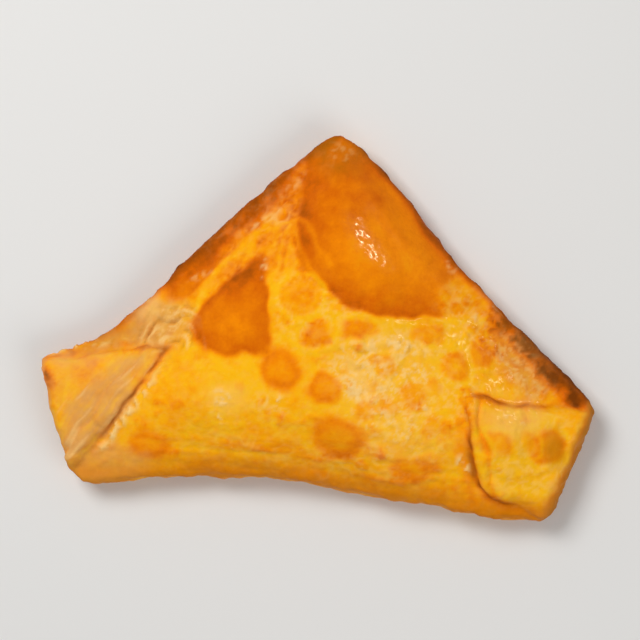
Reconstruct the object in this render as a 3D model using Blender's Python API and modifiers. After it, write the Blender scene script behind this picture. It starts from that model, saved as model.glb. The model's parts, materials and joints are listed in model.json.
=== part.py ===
"""A crab rangoon: a square wonton wrapper folded over its filling into a triangle, with both sharp corners folded in
on top, and deep fried. The fried wrapper is shut all round, so the whole piece is one solid.

Units are metres. +Z is up and the piece lies on Z = 0, folded corners up. +X runs along the long fold and +Y
points at the right-angled tip. The origin is on the surface, under the middle of the piece's extents.
"""

import bmesh
import bpy
import numpy as np
from mathutils import Vector, noise

MM = 0.001

# The packet's plan, with the long fold at the foot and the tip at the top.
TIP_RIGHT = (4.9 * MM, 31.5 * MM)
TIP_LEFT = (0.6 * MM, 32.9 * MM)
LEFT_SHOULDER = (-46.7 * MM, -8.6 * MM)
LEFT_HEEL = (-41.0 * MM, -26.6 * MM)
LEFT_FOOT = (-37.8 * MM, -29.6 * MM)
RIGHT_FOOT = (40.8 * MM, -29.8 * MM)
RIGHT_SHOULDER = (47.6 * MM, -9.6 * MM)
# How far an edge pulls in from the straight line between its corners, and where along it that is deepest, as
# powers of the distance from its start and from its end.
LONG_FOLD_SAG = 3.3 * MM
LEFT_LEG_SAG = 3.4 * MM
RIGHT_LEG_SAG = 1.2 * MM
END_SAG = -0.3 * MM
EVEN = (1.0, 1.0)
NEAR_START = (1.6, 2.5)
NEAR_END = (3.4, 1.1)
CORNER_SOFTNESS = 0.7 * MM
# The middle of the plan's extents, which ends up over the origin.
MIDDLE = np.array((0.44 * MM, 1.28 * MM))

# Heights above the surface that the packet lies on.
CROWN_HEIGHT = 13.6 * MM
SEAL_HEIGHT = 5.4 * MM
FOLD_HEIGHT = 4.2 * MM
BELLY_DEPTH = 3.9 * MM
BELLY_SHARPNESS = 0.8
# Half the thickness of the packet at its edges: two bare sheets at the seal, sheets round the filling at a fold.
SEAL_HALF = 1.15 * MM
FOLD_HALF = 2.4 * MM
END_HALF = 1.6 * MM
SEAL_WIDTH = 3.2 * MM
# How far in from an edge the filling takes to swell.
LEG_RISE = 9.0 * MM
FOLD_RISE = 8.0 * MM
END_RISE = 13.0 * MM

# The corner flaps lie on the packet. Each is two sheets thick, and its free edges stand just off it.
FLAP_THICKNESS = 1.9 * MM
FLAP_EDGE_ROUND = 0.8 * MM
FLAP_GAP = 0.25 * MM
FLAP_SINK = 0.8 * MM
FOLD_TURN = 4.0 * MM
LEFT_FLAP_TIP = (-24.0 * MM, -4.7 * MM)
LEFT_FLAP_BROW = (-46.5 * MM, -9.4 * MM)
LEFT_FLAP_HEEL = (-39.9 * MM, -28.5 * MM)
RIGHT_FLAP_BROW = (47.4 * MM, -10.1 * MM)
RIGHT_FLAP_NOSE = (25.4 * MM, -9.0 * MM)
RIGHT_FLAP_CHIN = (28.9 * MM, -24.5 * MM)
RIGHT_FLAP_HEEL = (40.9 * MM, -29.5 * MM)
# How far the right flap's upper edge pulls in.
BROW_SAG = 0.8 * MM

# Blisters of the fried wrapper: middle x and y, half length, half width, turn in degrees, height.
TOP_BLISTERS = [
    (10.0 * MM, 13.6 * MM, 18.5 * MM, 9.6 * MM, -43, 2.6 * MM),
    (-12.8 * MM, 2.4 * MM, 9.8 * MM, 6.2 * MM, 62, 1.4 * MM),
    (-21.6 * MM, 6.6 * MM, 6.2 * MM, 3.6 * MM, 42, 1.0 * MM),
    (-2.4 * MM, 4.6 * MM, 3.5 * MM, 3.2 * MM, 0, 0.5 * MM),
    (1.2 * MM, -1.2 * MM, 2.9 * MM, 2.5 * MM, 10, 0.5 * MM),
    (7.6 * MM, 0.2 * MM, 2.9 * MM, 2.4 * MM, 0, 0.5 * MM),
    (-5.4 * MM, -7.2 * MM, 3.5 * MM, 3.1 * MM, 80, 0.6 * MM),
    (2.0 * MM, -10.1 * MM, 3.0 * MM, 2.8 * MM, 0, 0.6 * MM),
    (5.9 * MM, -17.9 * MM, 4.4 * MM, 3.6 * MM, -15, 0.6 * MM),
    (23.0 * MM, -5.0 * MM, 2.6 * MM, 2.2 * MM, 20, 0.4 * MM),
    (16.6 * MM, -10.6 * MM, 2.4 * MM, 2.2 * MM, 0, 0.4 * MM),
    (19.4 * MM, 0.0 * MM, 2.6 * MM, 2.2 * MM, 0, 0.4 * MM),
    (23.6 * MM, 6.6 * MM, 3.2 * MM, 2.6 * MM, -40, 0.5 * MM),
    (39.6 * MM, -17.4 * MM, 3.4 * MM, 3.1 * MM, 60, 0.6 * MM),
    (31.6 * MM, -16.6 * MM, 2.8 * MM, 2.0 * MM, 0, 0.4 * MM),
]
UNDERSIDE_BLISTERS = [
    (-20.0 * MM, -22.0 * MM, 6.0 * MM, 3.6 * MM, 10, 0.6 * MM),
    (24.0 * MM, -22.5 * MM, 5.0 * MM, 3.2 * MM, -12, 0.8 * MM),
    (15.0 * MM, 14.5 * MM, 8.0 * MM, 4.2 * MM, -43, 1.0 * MM),
    (-15.5 * MM, 12.5 * MM, 6.5 * MM, 4.0 * MM, 42, 0.9 * MM),
    (37.0 * MM, -17.0 * MM, 4.6 * MM, 3.6 * MM, 70, 0.5 * MM),
    (-38.0 * MM, -17.0 * MM, 4.4 * MM, 3.2 * MM, 75, 0.8 * MM),
]
# How far a blister's rim wanders, over what distance, and how far in from a leg blisters reach their full height.
RIM_WANDER = 1.3 * MM
RIM_WANDER_SIZE = 4.5 * MM
BLISTER_RISE = 7.0 * MM
# The edge line of the packet is wavy.
WAVE_LENGTH = 26.0 * MM
WAVE_HEIGHT = 0.9 * MM

# Mesh fineness.
AROUND = 288
FROM_TOP_TO_UNDERSIDE = 96
REMESH_SIZE = 0.5 * MM
SMOOTH_PASSES = 5
TRIANGLES = 11400
FLAT_WITHIN = 0.25 * MM

FRIED_DOUGH = (0.80, 0.36, 0.05, 1.0)


def edge(start, end, sag=0.0, deepest=EVEN):
    """One edge of a plan whose inside is on the left of start to end."""
    return np.array(start), np.array(end), sag, deepest


PACKET = {
    "right_leg": edge(RIGHT_SHOULDER, TIP_RIGHT, RIGHT_LEG_SAG),
    "tip": edge(TIP_RIGHT, TIP_LEFT),
    "left_leg": edge(TIP_LEFT, LEFT_SHOULDER, LEFT_LEG_SAG, NEAR_END),
    "left_end": edge(LEFT_SHOULDER, LEFT_HEEL, END_SAG),
    "left_heel": edge(LEFT_HEEL, LEFT_FOOT),
    "long_fold": edge(LEFT_FOOT, RIGHT_FOOT, LONG_FOLD_SAG, NEAR_START),
    "right_end": edge(RIGHT_FOOT, RIGHT_SHOULDER, END_SAG),
}
LEGS = ("right_leg", "left_leg")
ENDS = ("left_end", "right_end")
LEFT_FLAP = {
    "fold": edge(LEFT_FLAP_BROW, LEFT_FLAP_HEEL, END_SAG),
    "inner": edge(LEFT_FLAP_HEEL, LEFT_FLAP_TIP),
    "upper": edge(LEFT_FLAP_TIP, LEFT_FLAP_BROW),
}
RIGHT_FLAP = {
    "fold": edge(RIGHT_FLAP_HEEL, RIGHT_FLAP_BROW, END_SAG),
    "upper": edge(RIGHT_FLAP_BROW, RIGHT_FLAP_NOSE, BROW_SAG),
    "inner": edge(RIGHT_FLAP_NOSE, RIGHT_FLAP_CHIN),
    "lower": edge(RIGHT_FLAP_CHIN, RIGHT_FLAP_HEEL),
}


def depth_from(plan_edge, x, y):
    """How far inside one edge each point is."""
    start, end, sag, (from_start, from_end) = plan_edge
    along = end - start
    length = np.hypot(*along)
    ux, uy = along / length
    s = np.clip(((x - start[0]) * ux + (y - start[1]) * uy) / length, 0, 1)
    peak = from_start / (from_start + from_end)
    deepest = peak**from_start * (1 - peak) ** from_end
    pulled_in = sag * s**from_start * (1 - s) ** from_end / deepest
    return (y - start[1]) * ux - (x - start[0]) * uy - pulled_in


def softest(depths, softness=CORNER_SOFTNESS):
    """The smallest of some depths, rounded off where two of them are alike."""
    stack = np.stack(depths)
    least = stack.min(axis=0)
    return least - softness * np.log(np.exp(-(stack - least) / softness).sum(axis=0))


def depth_in(plan, x, y):
    """How far inside a plan each point is, with rounded corners."""
    return softest([depth_from(e, x, y) for e in plan.values()])


def swell(depth, rise):
    """0 at an edge and 1 well inside it."""
    return 1 - np.exp(-np.square(np.maximum(depth, 0) / rise))


def round_edge(depth, radius):
    """The height of a quarter circle that starts at an edge and levels off at its radius."""
    back = 1 - np.clip(depth / radius, 0, 1)
    return radius * np.sqrt(np.maximum(1 - back * back, 0))


def blend(low, high, value):
    """0 below low, 1 above high and smooth between them."""
    t = np.clip((value - low) / (high - low), 0, 1)
    return t * t * (3 - 2 * t)


def filling(x, y):
    """0 to 1, where and how much the filling swells the packet."""
    swollen = swell(depth_from(PACKET["long_fold"], x, y), FOLD_RISE)
    for leg in LEGS:
        swollen = swollen * swell(depth_from(PACKET[leg], x, y) - SEAL_WIDTH, LEG_RISE)
    for end in ENDS:
        swollen = swollen * swell(depth_from(PACKET[end], x, y), END_RISE)
    return swollen


def edge_half(x, y):
    """Half the packet's thickness as its edges alone would have it."""
    ends = [round_edge(depth_from(PACKET[k], x, y), END_HALF) for k in ENDS]
    seals = [round_edge(depth_from(PACKET[k], x, y), SEAL_HALF) for k in (*LEGS, "tip")]
    folds = [round_edge(depth_from(PACKET[k], x, y), FOLD_HALF) for k in ("left_heel", "long_fold")]
    near_end = np.minimum(*[depth_from(PACKET[k], x, y) for k in ENDS])
    near_leg = np.minimum(*[depth_from(PACKET[k], x, y) for k in LEGS])
    ends = np.minimum(*ends) + (FOLD_HALF - END_HALF) * blend(0, END_RISE, near_end)
    seals = np.minimum.reduce(seals) + (FOLD_HALF - SEAL_HALF) * blend(0, 3 * SEAL_WIDTH, near_leg)
    return np.minimum.reduce([ends, seals, *folds])


def wobble(x, y, size, seed=0.0):
    """Smooth noise between about -0.7 and 0.7 over the plan, with bumps of about this size."""
    return np.array([noise.noise(Vector((a / size, b / size, seed))) for a, b in zip(x, y)])


def middle_height(x, y):
    """The height of the packet's edge line, where its upper and lower sheets meet."""
    up_the_packet = blend(LEFT_FOOT[1], TIP_LEFT[1], y)
    level = FOLD_HEIGHT + (SEAL_HEIGHT - FOLD_HEIGHT) * up_the_packet
    return level + WAVE_HEIGHT * wobble(x, y, WAVE_LENGTH / 2)


def packet_top(x, y):
    crown = CROWN_HEIGHT - SEAL_HEIGHT - FOLD_HALF
    return middle_height(x, y) + edge_half(x, y) + crown * filling(x, y)


def packet_underside(x, y):
    """It hangs below the edge line, and lies flat where it meets the surface."""
    hanging = middle_height(x, y) - edge_half(x, y) - BELLY_DEPTH * filling(x, y) ** BELLY_SHARPNESS
    return np.maximum(hanging, 0)


def flap_shape(plan):
    """(top, underside) of a corner flap, as functions of the place."""
    free_edges = [plan[name] for name in plan if name != "fold"]
    roll = END_HALF + FLAP_THICKNESS / 2

    def depths(x, y):
        return softest([depth_from(e, x, y) for e in free_edges]), depth_from(plan["fold"], x, y)

    def rolled_edge(x, y):
        """The height of the middle of the stack at the fold: the packet's end with the flap on it."""
        return middle_height(x, y) + FLAP_THICKNESS / 2

    def top(x, y):
        free, fold = depths(x, y)
        lying = packet_top(x, y) + FLAP_THICKNESS + FLAP_GAP * (1 - blend(0, 4 * FLAP_EDGE_ROUND, free))
        rolled = rolled_edge(x, y) + round_edge(fold, roll)
        level = rolled + (lying - rolled) * blend(0, FOLD_TURN, fold)
        return level + round_edge(free, FLAP_EDGE_ROUND) - FLAP_EDGE_ROUND

    def underside(x, y):
        free, fold = depths(x, y)
        lying = packet_top(x, y) + FLAP_GAP - (FLAP_GAP + FLAP_SINK) * blend(0, 3 * FLAP_EDGE_ROUND, free)
        rolled = rolled_edge(x, y) - round_edge(fold, roll)
        level = rolled + (lying - rolled) * blend(0.5 * FOLD_TURN, 1.5 * FOLD_TURN, fold)
        return np.minimum(level, top(x, y))

    return top, underside


def coordinates(mesh):
    points = np.empty(len(mesh.vertices) * 3, np.float32)
    mesh.vertices.foreach_get("co", points)
    return points.reshape(-1, 3).astype(float)


def set_coordinates(mesh, points):
    mesh.vertices.foreach_set("co", points.astype(np.float32).ravel())
    mesh.update()


def reach(plan, centre, angles):
    """How far the plan's outline is from its centre in each direction, by halving."""
    near, far = np.zeros_like(angles), np.full_like(angles, 0.1)
    for _ in range(40):
        middle = (near + far) / 2
        inside = depth_in(plan, centre[0] + middle * np.cos(angles), centre[1] + middle * np.sin(angles)) > 0
        near, far = np.where(inside, middle, near), np.where(inside, far, middle)
    return near


def pressed_sphere(name, plan, top, underside):
    """A closed solid: a sphere pressed into a plan, with its upper and lower halves laid on two heights."""
    mesh = bpy.data.meshes.new(name)
    shell = bmesh.new()
    bmesh.ops.create_uvsphere(shell, u_segments=AROUND, v_segments=FROM_TOP_TO_UNDERSIDE, radius=1.0)
    shell.to_mesh(mesh)
    shell.free()
    sphere = coordinates(mesh)
    corners = np.array([e[0] for e in plan.values()])
    centre = corners.mean(axis=0)
    share = np.minimum(np.hypot(sphere[:, 0], sphere[:, 1]), 1)
    angles = np.arctan2(sphere[:, 1], sphere[:, 0])
    out = share * reach(plan, centre, angles)
    x, y = centre[0] + out * np.cos(angles), centre[1] + out * np.sin(angles)
    high, low = top(x, y), underside(x, y)
    rim = np.abs(sphere[:, 2]) < 1e-4
    z = np.where(sphere[:, 2] > 0, high, low)
    z = np.where(rim, (high + low) / 2, z)
    set_coordinates(mesh, np.stack([x, y, z], axis=1))
    solid = bpy.data.objects.new(name, mesh)
    bpy.context.scene.collection.objects.link(solid)
    return solid


def apply_modifier(solid, kind, **settings):
    """Adds one modifier, gives it its settings and applies it to the object's mesh."""
    modifier = solid.modifiers.new(kind.lower(), kind)
    for name, value in settings.items():
        setattr(modifier, name, value)
    graph = bpy.context.evaluated_depsgraph_get()
    made = bpy.data.meshes.new_from_object(solid.evaluated_get(graph))
    solid.modifiers.clear()
    solid.data = made


def fuse(solids, name):
    """One closed skin round some solids that overlap."""
    bm = bmesh.new()
    for solid in solids:
        bm.from_mesh(solid.data)
    mesh = bpy.data.meshes.new(name)
    bm.to_mesh(mesh)
    bm.free()
    for solid in solids:
        bpy.data.objects.remove(solid)
    fused = bpy.data.objects.new(name, mesh)
    bpy.context.scene.collection.objects.link(fused)
    apply_modifier(fused, "REMESH", mode="VOXEL", voxel_size=REMESH_SIZE)
    apply_modifier(fused, "SMOOTH", factor=0.5, iterations=SMOOTH_PASSES)
    return fused


def dome(blister, x, y):
    """The height that one blister adds: steep at its rim and flat on top."""
    centre_x, centre_y, half_length, half_width, turn, height = blister
    c, s = np.cos(np.radians(turn)), np.sin(np.radians(turn))
    along = ((x - centre_x) * c + (y - centre_y) * s) / half_length
    across = (-(x - centre_x) * s + (y - centre_y) * c) / half_width
    return height * np.maximum(1 - (along**2 + across**2) ** 1.5, 0) ** 0.7


def raise_blisters(solid):
    """Lifts the upper skin and lowers the under skin wherever a blister stands."""
    points = coordinates(solid.data)
    up = np.array([v.normal.z for v in solid.data.vertices])
    x, y, z = points.T
    wander_x = x + RIM_WANDER * wobble(x, y, RIM_WANDER_SIZE, seed=3.3)
    wander_y = y + RIM_WANDER * wobble(x, y, RIM_WANDER_SIZE, seed=8.1)
    above = np.max([dome(b, wander_x, wander_y) for b in TOP_BLISTERS], axis=0) * blend(0.1, 0.5, up)
    below = np.max([dome(b, wander_x, wander_y) for b in UNDERSIDE_BLISTERS], axis=0) * blend(0.1, 0.5, -up)
    off_leg = blend(0, BLISTER_RISE, softest([depth_from(PACKET[k], x, y) for k in LEGS]))
    off_surface = blend(0.3 * MM, 2.5 * MM, z)
    points[:, 2] += (above - below * off_surface) * off_leg
    set_coordinates(solid.data, points)


def rest_flat(solid):
    """Makes the part that touches the surface exactly flat, at Z = 0, with the origin under the middle."""
    points = coordinates(solid.data)
    points[:, 2] = np.where(points[:, 2] < FLAT_WITHIN, 0, points[:, 2])
    points[:, :2] -= MIDDLE
    set_coordinates(solid.data, points)


def fried_dough():
    material = bpy.data.materials.new("fried_dough")
    material.use_nodes = True
    shader = material.node_tree.nodes["Principled BSDF"]
    shader.inputs["Base Color"].default_value = FRIED_DOUGH
    shader.inputs["Roughness"].default_value = 0.42
    shader.inputs["Metallic"].default_value = 0.0
    return material


def make_rangoon():
    for leftover in list(bpy.data.objects):
        bpy.data.objects.remove(leftover)
    solids = [
        pressed_sphere("packet", PACKET, packet_top, packet_underside),
        pressed_sphere("left_flap", LEFT_FLAP, *flap_shape(LEFT_FLAP)),
        pressed_sphere("right_flap", RIGHT_FLAP, *flap_shape(RIGHT_FLAP)),
    ]
    rangoon = fuse(solids, "rangoon")
    raise_blisters(rangoon)
    faces = sum(len(p.vertices) - 2 for p in rangoon.data.polygons)
    apply_modifier(rangoon, "DECIMATE", ratio=TRIANGLES / faces)
    rest_flat(rangoon)
    rangoon.data.materials.append(fried_dough())
    rangoon.data.shade_smooth()
    return rangoon


make_rangoon()
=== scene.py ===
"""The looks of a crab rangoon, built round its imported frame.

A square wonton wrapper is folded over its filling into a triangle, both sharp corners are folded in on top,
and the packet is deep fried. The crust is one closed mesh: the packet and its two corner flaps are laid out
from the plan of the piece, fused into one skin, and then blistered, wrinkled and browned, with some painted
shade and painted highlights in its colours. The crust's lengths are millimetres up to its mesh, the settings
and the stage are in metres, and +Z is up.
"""

import json
import math
from collections import namedtuple

import bpy
import numpy as np
from bpy.props import FloatProperty, FloatVectorProperty, IntProperty, PointerProperty
from mathutils import Matrix, Vector, noise

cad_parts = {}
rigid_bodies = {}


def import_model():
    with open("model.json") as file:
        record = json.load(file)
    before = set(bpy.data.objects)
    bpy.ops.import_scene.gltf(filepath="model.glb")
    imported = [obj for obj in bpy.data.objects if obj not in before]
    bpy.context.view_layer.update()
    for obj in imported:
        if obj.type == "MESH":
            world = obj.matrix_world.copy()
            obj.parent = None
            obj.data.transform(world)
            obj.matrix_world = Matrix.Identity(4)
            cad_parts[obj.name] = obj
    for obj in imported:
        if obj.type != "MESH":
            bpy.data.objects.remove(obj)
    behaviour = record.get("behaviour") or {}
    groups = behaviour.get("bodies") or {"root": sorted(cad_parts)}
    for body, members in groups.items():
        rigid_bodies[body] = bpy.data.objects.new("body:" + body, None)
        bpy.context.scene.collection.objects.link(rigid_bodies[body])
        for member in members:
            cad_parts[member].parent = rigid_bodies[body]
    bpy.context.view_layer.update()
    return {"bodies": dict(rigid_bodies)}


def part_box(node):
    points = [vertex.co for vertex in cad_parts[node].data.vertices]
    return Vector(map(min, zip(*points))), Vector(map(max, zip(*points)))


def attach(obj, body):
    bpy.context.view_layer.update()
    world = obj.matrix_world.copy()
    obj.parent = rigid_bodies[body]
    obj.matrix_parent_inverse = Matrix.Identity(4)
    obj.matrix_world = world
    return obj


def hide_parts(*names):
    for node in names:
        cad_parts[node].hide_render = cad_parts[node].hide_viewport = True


bl_info = {
    "name": "Crab Rangoon",
    "version": (1, 0, 0),
    "blender": (4, 5, 0),
    "location": "View3D > Sidebar > Rangoon",
    "description": "Folds, blisters and browns a deep-fried crab rangoon",
    "category": "Add Mesh",
}

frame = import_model()
BODY = next(iter(frame["bodies"]))
NODE = "rangoon"
LOWEST, HIGHEST = (Vector(corner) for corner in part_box(NODE))
MIDDLE = (LOWEST + HIGHEST) / 2

MM = 0.001

# The packet's plan, with the long fold at the foot and the tip at the top.
TIP_RIGHT = (4.9, 31.5)
TIP_LEFT = (0.6, 32.9)
LEFT_SHOULDER = (-46.7, -8.6)
LEFT_HEEL = (-41.0, -26.6)
LEFT_FOOT = (-37.8, -29.6)
RIGHT_FOOT = (40.8, -29.8)
RIGHT_SHOULDER = (47.6, -9.6)
# How far an edge pulls in from the straight line between its corners, and where along it that is deepest, as
# powers of the distance from its start and from its end.
LONG_FOLD_SAG = 3.3
LEFT_LEG_SAG = 3.4
RIGHT_LEG_SAG = 1.2
END_SAG = -0.3
EVEN = (1.0, 1.0)
NEAR_START = (1.6, 2.5)
NEAR_END = (3.4, 1.1)
CORNER_SOFTNESS = 0.7

# Heights above the surface that the packet lies on, and how far its belly hangs below its edge line and how
# steeply that starts.
CROWN_HEIGHT = 13.6
SEAL_HEIGHT = 5.4
FOLD_HEIGHT = 4.2
BELLY_DEPTH = 3.9
BELLY_SHARPNESS = 0.8
# Half its thickness at the sealed edges, the folds and the ends, how wide the sealed band is, and how far in
# from each kind of edge it has swollen.
SEAL_HALF = 1.15
FOLD_HALF = 2.4
END_HALF = 1.6
SEAL_WIDTH = 3.2
LEG_RISE = 9.0
FOLD_RISE = 8.0
END_RISE = 13.0
# The edge line of the packet is wavy.
WAVE_LENGTH = 26.0
WAVE_HEIGHT = 0.9

# The corner flaps, each two sheets thick, thinner along their free edges where they stand open, and fused to
# the packet where they don't.
FLAP_THICKNESS = 1.9
FLAP_THINNED = 0.55
FLAP_THINS_OVER = 6.0
FLAP_EDGE_ROUND = 0.6
FLAP_SLOPE = 3.0
FLAP_SINK = 1.2
FLAP_CRACK_DEPTH = 1.1
FOLD_TURN = 4.0
LEFT_FLAP_TIP = (-24.0, -4.7)
LEFT_FLAP_BROW = (-46.5, -9.4)
LEFT_FLAP_HEEL = (-39.9, -28.5)
RIGHT_FLAP_BROW = (47.4, -10.1)
RIGHT_FLAP_NOSE = (25.4, -9.0)
RIGHT_FLAP_CHIN = (28.9, -24.5)
RIGHT_FLAP_HEEL = (40.9, -29.5)
# How far the right flap's upper edge pulls in.
BROW_SAG = 0.8
# How far the packet's outline and the flaps' edges stray from the plan, and over what distances.
PACKET_STRAYS = ((0.45, 9.0), (0.2, 2.6))
FLAP_STRAYS = ((0.5, 6.0), (0.25, 2.1))

# Mesh fineness. An outline is found by halving the way from its centre to a place that is outside any plan.
AROUND = 112
FROM_TOP_TO_UNDERSIDE = 40
FINER = 2
ON_RIM = 1e-4
SMOOTH_PASSES = 3
OUTSIDE = 100.0
HALVINGS = 40


# ----------------------------------------------------------------------------
# Settings


LENGTH = {"unit": "LENGTH", "precision": 5}
ANGLE = {"subtype": "ANGLE"}
FACTOR = {"subtype": "FACTOR", "min": 0, "max": 1}


def number(name, description, default, **kind):
    return FloatProperty(name=name, description=description, default=default, **kind)


def colour(name, description, default):
    return FloatVectorProperty(name=name, description=description, subtype="COLOR", size=3, default=default)


class RangoonForm(bpy.types.PropertyGroup):
    """Sizes of the crust's finer forms."""

    voxel: number("Voxel", "Fineness of the crust's mesh", 0.335 * MM, **LENGTH)
    crack: number("Crack", "Gap under a flap's free edges", 0.25 * MM, **LENGTH)
    bubble_height: number("Bubble height", "Height of the small bubbles", 0.36 * MM, **LENGTH)
    wrinkle_height: number("Wrinkle height", "Height of the wrinkles", 0.27 * MM, **LENGTH)
    seed: IntProperty(name="Seed", description="Places the small bubbles anew", default=7, min=1)


class RangoonFinish(bpy.types.PropertyGroup):
    """Colours and gloss of the fried dough, some of them painted shade and painted highlight."""

    yellow: colour("Yellow", "Dough that the oil has just turned", (1.0, 0.50, 0.007))
    golden: colour("Golden", "Crust between blisters", (1.0, 0.39, 0.0025))
    orange: colour("Orange", "Tops of small blisters", (0.93, 0.255, 0.0015))
    amber: colour("Amber", "Tops of large blisters", (0.70, 0.135, 0.0012))
    russet: colour("Russet", "Thin sealed edges", (0.19, 0.042, 0.002))
    # Also laid at the right end as part of its painted shade.
    tan: colour("Tan", "Matt dough that was folded over", (0.76, 0.345, 0.085))
    # Partly dough that stays light, partly painted highlight on crumbs, ridges, ripples and lips.
    pale_and_glint: colour("Pale", "Raised wrinkles that stay light", (1.0, 0.63, 0.215))
    # Partly olive browning, partly painted shade along the long fold, at the right end and above the left
    # flap.
    toast_and_shade: colour("Toast", "Olive brown of old blisters", (0.58, 0.20, 0.003))
    # Painted shade in the cracks under the flaps and in the ripples' troughs; also the dark seam line.
    crease_shade_and_seam: colour("Crease", "Depth of the cracks", (0.30, 0.080, 0.003))
    roughness: number("Roughness", "Roughness of the dough", 0.5, **FACTOR)
    oil: number("Oil", "How much of the crust shines with oil", 0.75, **FACTOR)


class RangoonStage(bpy.types.PropertyGroup):
    """Camera, lights and floor."""

    lens: number("Lens", "Focal length in millimetres", 141.0)
    distance: number("Distance", "From the camera to the piece", 0.42, **LENGTH)
    lean: number("Lean", "How far the view leans from straight down", math.radians(4.5), **ANGLE)
    turn: number("Turn", "How far the piece lies turned in the view", math.radians(4.4), **ANGLE)
    floor_colour: colour("Floor", "Colour of the floor", (0.80, 0.79, 0.77))
    glint_colour: colour("Glint", "Colour of the light that the oil mirrors", (1.0, 0.90, 0.62))


# ----------------------------------------------------------------------------
# Curves and noises


def swell(depth, rise):
    """0 at an edge and 1 well inside it."""
    return 1 - np.exp(-np.square(np.maximum(depth, 0) / rise))


def round_edge(depth, radius):
    """The height of a quarter circle that starts at an edge and levels off at its radius."""
    back = 1 - np.clip(depth / radius, 0, 1)
    return radius * np.sqrt(np.maximum(1 - back * back, 0))


def blend(low, high, value):
    """0 below low, 1 above high and smooth between them."""
    t = np.clip((value - low) / (high - low), 0, 1)
    return t * t * (3 - 2 * t)


def ridge(value, middle, half_width):
    """1 where the value is at its middle, falling off smoothly on both sides."""
    return np.exp(-np.square((value - middle) / half_width))


def wobble(x, y, size, seed=0.0):
    """Smooth noise between about -0.7 and 0.7 over the plan, with bumps of about this size."""
    return np.array([noise.noise(Vector((a / size, b / size, seed))) for a, b in zip(x, y)])


def lumps(points, size, seed=0.0, octaves=3):
    """Smooth noise in space, between about -1 and 1, with finer bumps on its bumps."""
    shift = Vector((seed, 2.7 * seed, 5.1 * seed))
    return np.array([noise.fractal(Vector(p) / size + shift, 0.9, 2.0, octaves) for p in points])


def threads(points, size, seed, width=0.16):
    """Thin winding lines in space, 1 on a line: where smooth noise changes sign."""
    return np.exp(-np.square(lumps(points, size, seed, octaves=2) / width))


def cells(points, size, seed):
    """Uneven cells in space: how far inside its cell each point is, in sizes, and the cell's own number."""
    # Without a seed, noise_vector is another each time that Blender runs.
    noise.seed_set(seed)
    shift = Vector((seed, -1.3 * seed, 0.7 * seed))
    inside, own = np.empty(len(points)), np.empty(len(points))
    for i, point in enumerate(points):
        place = Vector(point) / size + shift
        place += 0.3 * noise.noise_vector(1.7 * place)
        (near, second, *_), (cell, *_) = noise.voronoi(place)
        inside[i] = second - near
        own[i] = 0.5 + 0.5 * noise.cell(cell * 7.3)
    return inside, own


def strayed(x, y, strays, seed):
    """How far an outline strays from its plan at each point, along X and along Y."""
    away_x = sum(reach * wobble(x, y, size, seed) for reach, size in strays)
    away_y = sum(reach * wobble(x, y, size, seed + 4.6) for reach, size in strays)
    return away_x, away_y


# ----------------------------------------------------------------------------
# The plan of the piece


def edge(start, end, sag=0.0, deepest=EVEN, opens=(0.0, 0.0)):
    """One edge of a plan, whose inside is on the left of start to end. It stands open so far at each end."""
    return np.array(start), np.array(end), sag, deepest, opens


PACKET = {
    "right_leg": edge(RIGHT_SHOULDER, TIP_RIGHT, RIGHT_LEG_SAG),
    "tip": edge(TIP_RIGHT, TIP_LEFT),
    "left_leg": edge(TIP_LEFT, LEFT_SHOULDER, LEFT_LEG_SAG, NEAR_END),
    "left_end": edge(LEFT_SHOULDER, LEFT_HEEL, END_SAG),
    "left_heel": edge(LEFT_HEEL, LEFT_FOOT),
    "long_fold": edge(LEFT_FOOT, RIGHT_FOOT, LONG_FOLD_SAG, NEAR_START),
    "right_end": edge(RIGHT_FOOT, RIGHT_SHOULDER, END_SAG),
}
LEGS = ("right_leg", "left_leg")
ENDS = ("left_end", "right_end")
LEFT_FLAP = {
    "fold": edge(LEFT_FLAP_BROW, LEFT_FLAP_HEEL, END_SAG),
    "inner": edge(LEFT_FLAP_HEEL, LEFT_FLAP_TIP, opens=(0.0, 1.0)),
    "upper": edge(LEFT_FLAP_TIP, LEFT_FLAP_BROW, opens=(0.4, 0.1)),
}
RIGHT_FLAP = {
    "fold": edge(RIGHT_FLAP_HEEL, RIGHT_FLAP_BROW, END_SAG),
    "upper": edge(RIGHT_FLAP_BROW, RIGHT_FLAP_NOSE, BROW_SAG, opens=(0.15, 0.45)),
    "inner": edge(RIGHT_FLAP_NOSE, RIGHT_FLAP_CHIN, opens=(0.4, 0.9)),
    "lower": edge(RIGHT_FLAP_CHIN, RIGHT_FLAP_HEEL, opens=(0.9, 0.3)),
}


def share_along(plan_edge, x, y):
    """How far along one edge each point is: 0 at its start and 1 at its end."""
    start, end = plan_edge[:2]
    along = end - start
    return np.clip(((x - start[0]) * along[0] + (y - start[1]) * along[1]) / np.dot(along, along), 0, 1)


def depth_from(plan_edge, x, y):
    """How far inside one edge each point is."""
    start, end, sag, (from_start, from_end), _ = plan_edge
    ux, uy = (end - start) / np.hypot(*(end - start))
    s = share_along(plan_edge, x, y)
    peak = from_start / (from_start + from_end)
    deepest = peak**from_start * (1 - peak) ** from_end
    pulled_in = sag * s**from_start * (1 - s) ** from_end / deepest
    return (y - start[1]) * ux - (x - start[0]) * uy - pulled_in


def softest(depths, softness=CORNER_SOFTNESS):
    """The smallest of some depths, rounded off where two of them are alike."""
    stack = np.stack(depths)
    least = stack.min(axis=0)
    return least - softness * np.log(np.exp(-(stack - least) / softness).sum(axis=0))


def depth_in(plan, x, y):
    """How far inside a plan each point is, with rounded corners."""
    return softest([depth_from(e, x, y) for e in plan.values()])


def depths_from(names, x, y):
    """How far inside each of some of the packet's edges each point is."""
    return [depth_from(PACKET[name], x, y) for name in names]


def free_edges(plan):
    return [plan_edge for name, plan_edge in plan.items() if name != "fold"]


def free_depth(plan, x, y):
    """How far inside a flap's free edges each point is."""
    return softest([depth_from(e, x, y) for e in free_edges(plan)])


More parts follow.
